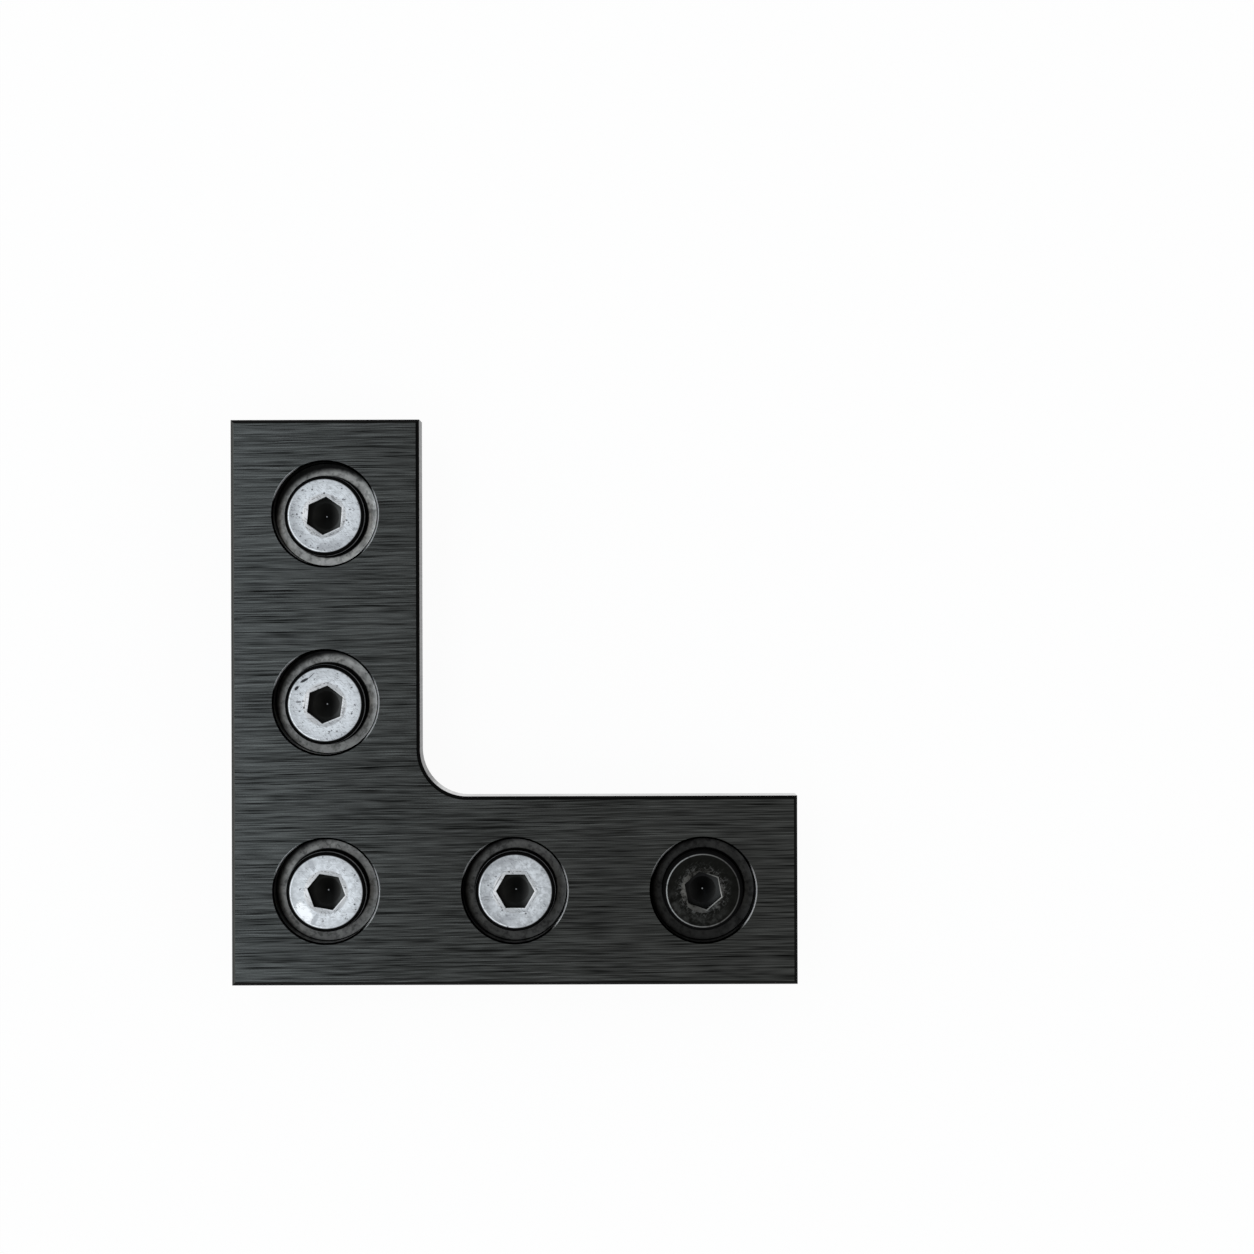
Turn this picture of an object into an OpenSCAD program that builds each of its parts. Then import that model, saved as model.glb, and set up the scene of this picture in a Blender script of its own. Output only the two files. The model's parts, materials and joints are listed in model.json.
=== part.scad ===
// Flat L-shaped joining plate with counterbored holes and the socket screws that sit in them.
// It lies on its screw tips: the back face is at z = 0, the front face looks up,
// and the origin is on the axis of the corner screw.

/* [Plate] */
// Length of each leg along its outside edge
leg_len = 60; // [52:1:120]
// Width of each leg
leg_w = 20; // [16:0.5:26]
// Thickness of the plate
plate_t = 5; // [4:0.25:7]
// Radius of the inside corner
inner_r = 5; // [1:0.5:10]
// Bevel along the front and back edges
edge_bevel = 0.3; // [0.1:0.05:0.6]

/* [Screw holes] */
// Play between a thread and its hole, on the diameter
hole_play = 0.5; // [0.2:0.1:1]
// Play between a head and its counterbore, on the diameter
bore_play = 2.5; // [0.5:0.1:3]
// Depth of the counterbores
bore_depth = 2.5; // [1:0.1:3]
// Bevel round the rim of each counterbore
rim_bevel = 0.15; // [0.05:0.05:0.3]

/* [Screws] */
// Diameter of the thread
thread_d = 5; // [4:0.5:6]
// Depth of the plain neck below the crest of the thread
neck_depth = 0.45; // [0.2:0.05:0.6]
// Length under the head
screw_len = 8; // [7:0.5:16]
// Bevel at the tip of the thread
tip_bevel = 0.6; // [0.2:0.1:1]
// Diameter of the head
head_d = 8.5; // [7.5:0.25:9.5]
// Height of the head
head_h = 3.5; // [3.25:0.25:5]
// Rounding of the top edge of the head
head_round = 0.5; // [0.1:0.1:0.8]

/* [Sockets] */
// Width of the hexagon across its flats
socket_af = 3.5; // [3:0.1:4]
// Depth of the hexagon
socket_depth = 2; // [1.5:0.1:2.2]
// Bevel from the corners of the hexagon to the mouth of the socket
socket_bevel = 0.28; // [0.1:0.02:0.5]
// Diameter of the drilled hole at the bottom of the hexagon
drill_d = 2.8; // [2:0.1:2.9]
// Slope of the drilled hole's pointed bottom, in degrees
drill_slope = 31; // [15:1:31]

/* [Socket turns] */
// Turn of the socket at the corner, in degrees
corner_turn = 50; // [0:1:59]
// Turn of the socket in the middle of the leg along X, in degrees
x_mid_turn = 0; // [0:1:59]
// Turn of the socket at the end of the leg along X, in degrees
x_end_turn = 41; // [0:1:59]
// Turn of the socket in the middle of the leg along Y, in degrees
y_mid_turn = 22; // [0:1:59]
// Turn of the socket at the end of the leg along Y, in degrees
y_end_turn = 24; // [0:1:59]

/* [Hidden] */

$fn = 96;

// Overrun that carries a cut past the face it opens
cut = 0.5;

half_w = leg_w / 2;
leg_end = leg_len - half_w;
inner_centre = half_w + inner_r;
hole_pitch = (leg_len - leg_w) / 2;

hole_d = thread_d + hole_play;
bore_d = head_d + bore_play;
seat_z = plate_t - bore_depth;
tip_z = seat_z - screw_len;

hexagon_sides = 6;
hexagon_r = socket_af / 2 / cos(180 / hexagon_sides);
mouth_r = hexagon_r + socket_bevel;
throat_r = socket_af / 4;

// Places of the screws on the plate
corner_place = [0, 0, 0];
x_mid_place = [hole_pitch, 0, 0];
x_end_place = [2 * hole_pitch, 0, 0];
y_mid_place = [0, hole_pitch, 0];
y_end_place = [0, 2 * hole_pitch, 0];
places = [corner_place, x_mid_place, x_end_place, y_mid_place, y_end_place];

// Two equal legs with a rounded inside corner
module outline() {
    translate([-half_w, -half_w])
        square([leg_len, leg_w]);
    translate([-half_w, -half_w])
        square([leg_w, leg_len]);
    difference() {
        translate([half_w, half_w])
            square(inner_r);
        translate([inner_centre, inner_centre])
            circle(inner_r);
    }
}

// Bar along X that stands on its edge, so that it cuts a bevel on either side of the axis
module bevel_bar(len) {
    side = edge_bevel * sqrt(2);
    rotate([45, 0, 0])
        translate([0, -side / 2, -side / 2])
            cube([len, side, side]);
}

// Cuts for all the edges of a face at z = 0 that has the plate below it
module edge_bevels() {
    for (swap = [0, 1])
        mirror([swap, -swap, 0]) {
            translate([-half_w - cut, -half_w, 0])
                bevel_bar(leg_len + 2 * cut);
            translate([leg_end, -half_w - cut, 0])
                rotate([0, 0, 90])
                    bevel_bar(leg_w + 2 * cut);
            translate([inner_centre, half_w, 0])
                bevel_bar(leg_end - inner_centre + cut);
        }
    translate([inner_centre, inner_centre, -2 * edge_bevel])
        cylinder(h = 3 * edge_bevel, r1 = inner_r - edge_bevel, r2 = inner_r + 2 * edge_bevel);
}

// Clearance hole, counterbore and bevelled rim
module screw_hole() {
    translate([0, 0, -cut])
        cylinder(h = plate_t + 2 * cut, d = hole_d);
    translate([0, 0, seat_z])
        cylinder(h = bore_depth + cut, d = bore_d);
    translate([0, 0, plate_t - 2 * rim_bevel])
        cylinder(h = 3 * rim_bevel, r1 = bore_d / 2 - rim_bevel, r2 = bore_d / 2 + 2 * rim_bevel);
}

module l_plate() {
    color("#3b3c40")
        difference() {
            linear_extrude(plate_t)
                outline();
            translate([0, 0, plate_t])
                edge_bevels();
            mirror([0, 0, 1])
                edge_bevels();
            for (place = places)
                translate(place)
                    screw_hole();
        }
}

// Half section of a screw in place: the head stands on the counterbore's floor, the neck is in the plate
module screw_section() {
    head_r = head_d / 2;
    thread_r = thread_d / 2;
    neck_r = thread_r - neck_depth;
    translate([0, seat_z]) {
        square([head_r - head_round, head_h]);
        square([head_r, head_h - head_round]);
        translate([head_r - head_round, head_h - head_round])
            circle(head_round);
    }
    polygon([
        [0, tip_z],
        [thread_r - tip_bevel, tip_z],
        [thread_r, tip_z + tip_bevel],
        [thread_r, -neck_depth],
        [neck_r, 0],
        [neck_r, seat_z + cut],
        [0, seat_z + cut]
    ]);
}

// Hexagon with a bevelled mouth at z = 0 and a pointed bottom
module socket() {
    bevel_h = mouth_r - throat_r;
    point_h = drill_d / 2 * tan(drill_slope);
    translate([0, 0, -socket_depth])
        cylinder(h = socket_depth + cut, r = hexagon_r, $fn = hexagon_sides);
    translate([0, 0, -bevel_h])
        cylinder(h = bevel_h + cut, r1 = throat_r, r2 = mouth_r + cut);
    translate([0, 0, -socket_depth - point_h])
        cylinder(h = point_h, r1 = 0, r2 = drill_d / 2);
}

// Low-head socket screw
module screw(turn) {
    difference() {
        rotate_extrude()
            screw_section();
        translate([0, 0, seat_z + head_h])
            rotate([0, 0, turn])
                socket();
    }
}

module zinc_screws() {
    color("#c8cdd6") {
        translate(corner_place)
            screw(corner_turn);
        translate(x_mid_place)
            screw(x_mid_turn);
        translate(y_mid_place)
            screw(y_mid_turn);
        translate(y_end_place)
            screw(y_end_turn);
    }
}

module black_screw() {
    color("#2a2a2c")
        translate(x_end_place)
            screw(x_end_turn);
}

l_plate();
zinc_screws();
black_screw();
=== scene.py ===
"""Flat L-shaped joining plate with its socket screws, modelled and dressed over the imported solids."""
import json
import logging
import math
from dataclasses import dataclass
from enum import Enum
from typing import Any, Callable, Dict, List, Mapping, Optional, Sequence, Tuple, Union

import bpy
from mathutils import Matrix, Vector


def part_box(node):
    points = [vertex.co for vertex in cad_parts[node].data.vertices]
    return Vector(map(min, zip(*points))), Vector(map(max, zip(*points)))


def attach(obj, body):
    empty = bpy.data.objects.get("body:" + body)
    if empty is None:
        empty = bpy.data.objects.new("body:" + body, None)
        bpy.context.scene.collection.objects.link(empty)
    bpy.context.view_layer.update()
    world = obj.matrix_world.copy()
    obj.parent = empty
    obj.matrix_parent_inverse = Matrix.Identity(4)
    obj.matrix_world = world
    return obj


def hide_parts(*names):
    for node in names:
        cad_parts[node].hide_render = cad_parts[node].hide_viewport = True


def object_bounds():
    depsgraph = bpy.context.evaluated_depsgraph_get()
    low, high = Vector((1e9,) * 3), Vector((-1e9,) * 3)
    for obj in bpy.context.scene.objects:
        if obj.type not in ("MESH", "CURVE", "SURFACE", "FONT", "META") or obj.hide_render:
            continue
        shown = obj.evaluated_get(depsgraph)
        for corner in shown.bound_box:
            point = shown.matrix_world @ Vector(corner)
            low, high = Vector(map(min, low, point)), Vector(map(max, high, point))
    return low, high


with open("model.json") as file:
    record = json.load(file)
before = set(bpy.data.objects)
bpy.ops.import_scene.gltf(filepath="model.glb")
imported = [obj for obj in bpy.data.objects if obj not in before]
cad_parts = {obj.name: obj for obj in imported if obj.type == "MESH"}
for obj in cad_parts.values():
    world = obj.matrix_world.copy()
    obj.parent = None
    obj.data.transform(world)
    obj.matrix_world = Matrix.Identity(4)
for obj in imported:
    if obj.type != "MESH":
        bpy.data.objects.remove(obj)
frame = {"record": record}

LOG = logging.getLogger("l_plate")
CAD_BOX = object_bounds()
MM = 0.001
ROOT = "root"
HEXAGON_SIDES = 6

Span = Tuple[float, float]
Section = List[Span]
Colour = Tuple[float, float, float]
Feed = Union["Signal", float, Sequence[float]]


class Joinery(Enum):
    """How a tool body is combined with a piece."""

    JOIN = "UNION"
    CUT = "DIFFERENCE"


class Grip(Enum):
    """What a selection in edit mode is made of."""

    VERTEX = "VERT"
    EDGE = "EDGE"
    FACE = "FACE"


def arc(centre: Span, radius: float, start: float, end: float, steps: int) -> Section:
    """Points along a circular arc in a half section.

    Args:
        centre: Radius and height of the arc's centre.
        radius: Radius of the arc.
        start: First angle in degrees, from the direction that points away from the axis.
        end: Last angle in degrees.
        steps: Number of straight steps.

    Returns:
        The points, both ends included.
    """
    angles = [math.radians(start + (end - start) * step / steps) for step in range(steps + 1)]
    return [(centre[0] + radius * math.cos(a), centre[1] + radius * math.sin(a)) for a in angles]


class Bench:
    """Modelling by operators, on one piece at a time and in millimetres until it is finished."""

    WELD = 0.0005
    ROUND = 0.5

    @staticmethod
    def clear() -> None:
        """Go to object mode with nothing selected."""
        if bpy.context.object and bpy.context.object.mode != "OBJECT":
            bpy.ops.object.mode_set(mode="OBJECT")
        bpy.ops.object.select_all(action="DESELECT")

    @staticmethod
    def take(piece: bpy.types.Object) -> None:
        """Make a piece the only selected and active object, in object mode."""
        Bench.clear()
        piece.select_set(True)
        bpy.context.view_layer.objects.active = piece

    @staticmethod
    def settle(name: str) -> bpy.types.Object:
        """Name the new primitive and put its place into its mesh.

        Args:
            name: Name of the piece.

        Returns:
            The primitive's object, at the origin.
        """
        piece = bpy.context.object
        piece.name = name
        piece.data.name = name
        bpy.ops.object.transform_apply(location=True, rotation=True, scale=True)
        return piece

    @staticmethod
    def pick(piece: bpy.types.Object, grip: Grip, test: Callable[..., bool]) -> None:
        """Select vertices, edges or faces by their place and stay in edit mode.

        Args:
            piece: Object to select on.
            grip: What is selected.
            test: Takes a vertex's place, an edge's two places, or a face's centre and normal.
        """
        Bench.take(piece)
        bpy.ops.object.mode_set(mode="EDIT")
        bpy.ops.mesh.select_mode(type=grip.value)
        bpy.ops.mesh.select_all(action="DESELECT")
        bpy.ops.object.mode_set(mode="OBJECT")
        mesh = piece.data
        if grip is Grip.VERTEX:
            for vertex in mesh.vertices:
                vertex.select = test(vertex.co)
        elif grip is Grip.EDGE:
            for edge in mesh.edges:
                first, second = (mesh.vertices[index].co for index in edge.vertices)
                edge.select = test(first, second)
        else:
            for face in mesh.polygons:
                face.select = test(face.center, face.normal)
        bpy.ops.object.mode_set(mode="EDIT")

    @staticmethod
    def bevel(
        piece: bpy.types.Object, width: float, steps: int, profile: float, test: Callable[..., bool]
    ) -> None:
        """Bevel or round the edges that a test picks.

        Args:
            piece: Object to work on.
            width: Width of the bevel on each side of the edge.
            steps: Number of straight steps across the bevel.
            profile: 0.25 for a flat bevel, 0.5 for a round one.
            test: Takes an edge's two places.
        """
        Bench.pick(piece, Grip.EDGE, test)
        bpy.ops.mesh.bevel(
            offset=width, offset_type="OFFSET", segments=steps, profile=profile, affect="EDGES"
        )
        bpy.ops.object.mode_set(mode="OBJECT")

    @staticmethod
    def turned(name: str, section: Section, sides: int) -> bpy.types.Object:
        """Turn a closed body by extruding and scaling a disc up along Z.

        Args:
            name: Name of the body.
            section: Radius and height of each ring, from the bottom to the top.
            sides: Number of sides.

        Returns:
            The closed body.
        """
        Bench.clear()
        radius, height = section[0]
        bpy.ops.mesh.primitive_circle_add(
            vertices=sides, radius=radius, fill_type="NGON", location=(0, 0, height)
        )
        piece = Bench.settle(name)
        bpy.ops.object.mode_set(mode="EDIT")
        bpy.ops.mesh.select_mode(type=Grip.FACE.value)
        bpy.ops.mesh.select_all(action="SELECT")
        for next_radius, next_height in section[1:]:
            rise = (0, 0, next_height - height)
            bpy.ops.mesh.extrude_region_move(TRANSFORM_OT_translate={"value": rise})
            factor = next_radius / radius
            if next_radius != radius:
                bpy.ops.transform.resize(value=(factor, factor, 1), center_override=(0, 0, next_height))
            radius, height = next_radius, next_height
        bpy.ops.mesh.select_all(action="SELECT")
        bpy.ops.mesh.normals_make_consistent(inside=False)
        bpy.ops.object.mode_set(mode="OBJECT")
        return piece

    @staticmethod
    def combine(piece: bpy.types.Object, tool: bpy.types.Object, joinery: Joinery) -> None:
        """Join a tool body to a piece or cut it out of the piece, and use the tool up.

        Args:
            piece: Object to change.
            tool: Closed body.
            joinery: Join or cut.
        """
        Bench.take(piece)
        modifier = piece.modifiers.new(name="combine", type="BOOLEAN")
        modifier.operation = joinery.value
        modifier.solver = "EXACT"
        modifier.object = tool
        bpy.ops.object.modifier_apply(modifier=modifier.name)
        bpy.data.objects.remove(tool, do_unlink=True)

    @staticmethod
    def copy(piece: bpy.types.Object, name: str, place: Matrix) -> bpy.types.Object:
        """Copy a piece with a mesh of its own.

        Args:
            piece: Object to copy.
            name: Name of the copy.
            place: Turn and move that go into the copy's mesh.

        Returns:
            The copy, at the origin.
        """
        double = piece.copy()
        double.data = piece.data.copy()
        double.name = name
        double.data.name = name
        double.data.transform(place)
        bpy.context.scene.collection.objects.link(double)
        return double

    @staticmethod
    def finish(piece: bpy.types.Object, crease: float) -> None:
        """Weld a piece, point its faces outwards, bring it to metres and smooth all but its creases.

        Args:
            piece: Object to finish.
            crease: Angle in degrees from which an edge stays sharp.
        """
        Bench.take(piece)
        bpy.ops.object.mode_set(mode="EDIT")
        bpy.ops.mesh.select_all(action="SELECT")
        bpy.ops.mesh.remove_doubles(threshold=Bench.WELD)
        bpy.ops.mesh.dissolve_degenerate(threshold=Bench.WELD)
        bpy.ops.mesh.normals_make_consistent(inside=False)
        bpy.ops.object.mode_set(mode="OBJECT")
        piece.scale = (MM, MM, MM)
        bpy.ops.object.transform_apply(location=True, rotation=True, scale=True)
        bpy.ops.object.shade_smooth_by_angle(angle=math.radians(crease))
        even = piece.modifiers.new(name="even", type="WEIGHTED_NORMAL")
        even.keep_sharp = True
        bpy.ops.object.modifier_apply(modifier=even.name)


class Signal:
    """One shader socket that takes Python operators, each of which adds a Math node."""

    def __init__(self, shader: "Shader", socket: bpy.types.NodeSocket) -> None:
        """Keep the socket and the shader that it belongs to."""
        self.shader = shader
        self.socket = socket

    def math(self, operation: str, *others: Feed) -> "Signal":
        """Add a Math node that has this value first.

        Args:
            operation: Name of the Math node's operation.
            others: The other values.

        Returns:
            The node's result.
        """
        return self.shader.math(operation, self, *others)

    def __add__(self, other: Feed) -> "Signal":
        """Sum."""
        return self.math("ADD", other)

    def __radd__(self, other: Feed) -> "Signal":
        """Sum with the number first."""
        return self.math("ADD", other)

    def __sub__(self, other: Feed) -> "Signal":
        """Difference."""
        return self.math("SUBTRACT", other)

    def __rsub__(self, other: Feed) -> "Signal":
        """Difference with the number first."""
        return self.shader.math("SUBTRACT", other, self)

    def __mul__(self, other: Feed) -> "Signal":
        """Product."""
        return self.math("MULTIPLY", other)

    def __rmul__(self, other: Feed) -> "Signal":
        """Product with the number first."""
        return self.math("MULTIPLY", other)

    def __truediv__(self, other: Feed) -> "Signal":
        """Quotient."""
        return self.math("DIVIDE", other)

    def __abs__(self) -> "Signal":
        """Size without sign."""
        return self.math("ABSOLUTE")

    def step(self, low: float, high: float) -> "Signal":
        """Rise smoothly from 0 at one value to 1 at another, or fall where high is below low."""
        if low > high:
            return 1 - self.step(high, low)
        node = self.shader.node(
            "ShaderNodeMapRange",
            {"interpolation_type": "SMOOTHSTEP"},
            {"Value": self, "From Min": low, "From Max": high},
        )
        return Signal(self.shader, node.outputs["Result"])

    def band(self, centre: float, half: float) -> "Signal":
        """One at a value, and zero from half a width away."""
        return abs(self - centre).step(half, 0.0)


class Shader:
    """A node material under construction."""

    def __init__(self, name: str) -> None:
        """Start an empty material of that name."""
        self.material = bpy.data.materials.new(name)
        self.material.use_nodes = True
        self.tree = self.material.node_tree
        self.tree.nodes.clear()

    def node(
        self,
        kind: str,
        settings: Optional[Mapping[str, Any]] = None,
        inputs: Optional[Mapping[Union[str, int], Feed]] = None,
    ) -> bpy.types.Node:
        """Add a node of any type.

        Args:
            kind: Type of the node.
            settings: Properties, which are set first.
            inputs: Values or links, by socket name or number.

        Returns:
            The node.
        """
        node = self.tree.nodes.new(kind)
        for name, value in (settings or {}).items():
            setattr(node, name, value)
        for key, value in (inputs or {}).items():
            if isinstance(value, Signal):
                self.tree.links.new(value.socket, node.inputs[key])
            else:
                node.inputs[key].default_value = value
        return node

    def math(self, operation: str, *values: Feed) -> Signal:
        """Add a Math node.

        Args:
            operation: Name of the operation.
            values: Its values or links, in order.

        Returns:
            The node's result.
        """
        node = self.node("ShaderNodeMath", {"operation": operation}, dict(enumerate(values)))
        return Signal(self, node.outputs[0])

    def place(self) -> Tuple[Signal, Signal, Signal]:
        """Object coordinates in millimetres."""
        source = self.node("ShaderNodeTexCoord")
        parts = self.node("ShaderNodeSeparateXYZ", inputs={0: Signal(self, source.outputs["Object"])})
        x, y, z = (Signal(self, output) / MM for output in parts.outputs)
        return x, y, z

    def normal(self) -> Tuple[Signal, Signal, Signal]:
        """The three parts of the surface's normal."""
        source = self.node("ShaderNodeNewGeometry")
        parts = self.node("ShaderNodeSeparateXYZ", inputs={0: Signal(self, source.outputs["Normal"])})
        across, along, up = (Signal(self, output) for output in parts.outputs)
        return across, along, up

    def vector(self, x: Feed, y: Feed, z: Feed) -> Signal:
        """Join three values into a vector."""
        node = self.node("ShaderNodeCombineXYZ", inputs={"X": x, "Y": y, "Z": z})
        return Signal(self, node.outputs[0])

    def noise(self, where: Signal, detail: float = 2.0, roughness: float = 0.5) -> Signal:
        """Smooth noise about 0.5 whose grain is one unit of the vector.

        Args:
            where: Place in units of the grain.
            detail: Number of finer octaves.
            roughness: Weight of the finer octaves.

        Returns:
            The noise.
        """
        node = self.node(
            "ShaderNodeTexNoise",
            inputs={"Vector": where, "Scale": 1.0, "Detail": detail, "Roughness": roughness},
        )
        return Signal(self, node.outputs[0])

    def specks(self, where: Signal) -> Signal:
        """Distance to the nearest of scattered points that are about one unit apart."""
        node = self.node("ShaderNodeTexVoronoi", inputs={"Vector": where, "Scale": 1.0, "Randomness": 1.0})
        return Signal(self, node.outputs["Distance"])

    def blend(self, factor: Feed, first: Feed, second: Feed) -> Signal:
        """Mix two colours.

        Args:
            factor: 0 for the first colour, 1 for the second.
            first: Colour or link.
            second: Colour or link.

        Returns:
            The mixed colour.
        """
        paints = [self.paint(colour) for colour in (first, second)]
        node = self.node("ShaderNodeMix", {"data_type": "RGBA"}, {0: factor, 6: paints[0], 7: paints[1]})
        return Signal(self, node.outputs[2])

    def tint(self, colour: Colour, strength: Signal) -> Signal:
        """Scale a colour by a value."""
        node = self.node(
            "ShaderNodeVectorMath", {"operation": "SCALE"}, {0: colour, "Scale": strength}
        )
        return Signal(self, node.outputs[0])

    @staticmethod
    def paint(colour: Feed) -> Feed:
        """Give a plain colour its fourth number."""
        if isinstance(colour, Signal):
            return colour
        return (*colour, 1.0)

    def bump(self, height: Signal, distance: float) -> Signal:
        """Bent normal of a height field.

        Args:
            height: Height in units of the distance.
            distance: Depth in metres.

        Returns:
            The normal.
        """
        node = self.node("ShaderNodeBump", inputs={"Distance": distance, "Height": height})
        return Signal(self, node.outputs[0])

    def metal(
        self, colour: Signal, roughness: Feed, normal: Signal, metallic: Feed = 1.0
    ) -> bpy.types.Material:
        """End the material in a metal.

        Args:
            colour: Base colour.
            roughness: Roughness.
            normal: Bent normal.
            metallic: 1 on bare metal, 0 where painted shade makes it fully matte.

        Returns:
            The finished material.
        """
        end = self.node(
            "ShaderNodeBsdfPrincipled",
            inputs={
                "Base Color": colour,
                "Metallic": metallic,
                "Specular IOR Level": 0.0,
                "Roughness": roughness,
                "Normal": normal,
            },
        )
        self.node("ShaderNodeOutputMaterial", inputs={"Surface": Signal(self, end.outputs[0])})
        return self.material


@dataclass(frozen=True)
class BrushLayer:
    """One layer of brush marks: its grain in millimetres, the noise at which it shows, and its weight."""

    length: float
    width: float
    seed: float
    show: Span
    weight: float


@dataclass(frozen=True)
class RimHighlight:
    """A painted highlight along part of a counterbore's rim: its middle in degrees, its ends as cosines,
    and its strength.
    """

    middle: float
    ends: Span
    strength: float

    def cover(self, angle: Signal) -> Signal:
        """How far the arc covers the rim at an angle round the hole."""
        return (angle - math.radians(self.middle)).math("COSINE").step(*self.ends) * self.strength


@dataclass(frozen=True)
class FloorShade:
    """Light and shade on the counterbores' floors, where a slope is a change for each millimetre."""

    bore_radius: float
    fade_x: float = 22.0
    fade_y: float = 75.0
    lean_right: float = 0.31
    lean_right_slope: float = 0.0065
    lean_up: float = 0.3
    lean_up_slope: float = -0.015
    crescent_middle: float = 155.0
    crescent_turn_slope: float = 0.016
    crescent_depth: float = 0.42
    crescent_slope_x: float = -0.001
    crescent_slope_y: float = 0.0081
    wall_shade: float = 0.08
    crescent_blur: float = 0.36
    crescent_dark: float = 0.03
    contact_shift: float = 0.06
    contact_drop_slope: float = 0.0055
    contact: Span = (4.36, 4.52)
    contact_dark: float = 0.02

    def sheen(self, x: Signal, y: Signal, reach: Signal, angle: Signal) -> Signal:
        """Painted light and shade on the turned floors: a sheen that changes across the plate and round
        each hole, and a painted shadow along their upper left walls.

        Args:
            x: Place along X, in millimetres.
            y: Place along Y, in millimetres.
            reach: Distance from the hole's axis, in millimetres.
            angle: Angle round the hole, in radians.

        Returns:
            Factor on the floors' colour.
        """
        right = angle.math("COSINE") * (self.lean_right + y * self.lean_right_slope)
        lean = right + angle.math("SINE") * (self.lean_up + y * self.lean_up_slope)
        level = (y / self.fade_y - x / self.fade_x + lean).math("EXPONENT")
        swing = (angle - math.radians(self.crescent_middle) + y * self.crescent_turn_slope).math("COSINE")
        widest = self.crescent_depth + y * self.crescent_slope_y + x * self.crescent_slope_x
        depth = swing * widest + self.wall_shade
        clear = (self.bore_radius - reach - depth).step(-self.crescent_blur, self.crescent_blur)
        return level * (self.crescent_dark + clear * (1 - self.crescent_dark))

    def beside_head(self, u: Signal, v: Signal, y: Signal) -> Signal:
        """Shade on the floor close round a head, which sits a little off the middle of its hole.

        Args:
            u: Place from the hole's axis along X.
            v: Place from the hole's axis along Y.
            y: Place along Y, in millimetres.

        Returns:
            Factor on the floors' colour.
        """
        across, along = u - self.contact_shift, v + y * self.contact_drop_slope
        reach = (across * across + along * along).math("SQRT")
        return self.contact_dark + reach.step(*self.contact) * (1 - self.contact_dark)


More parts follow.
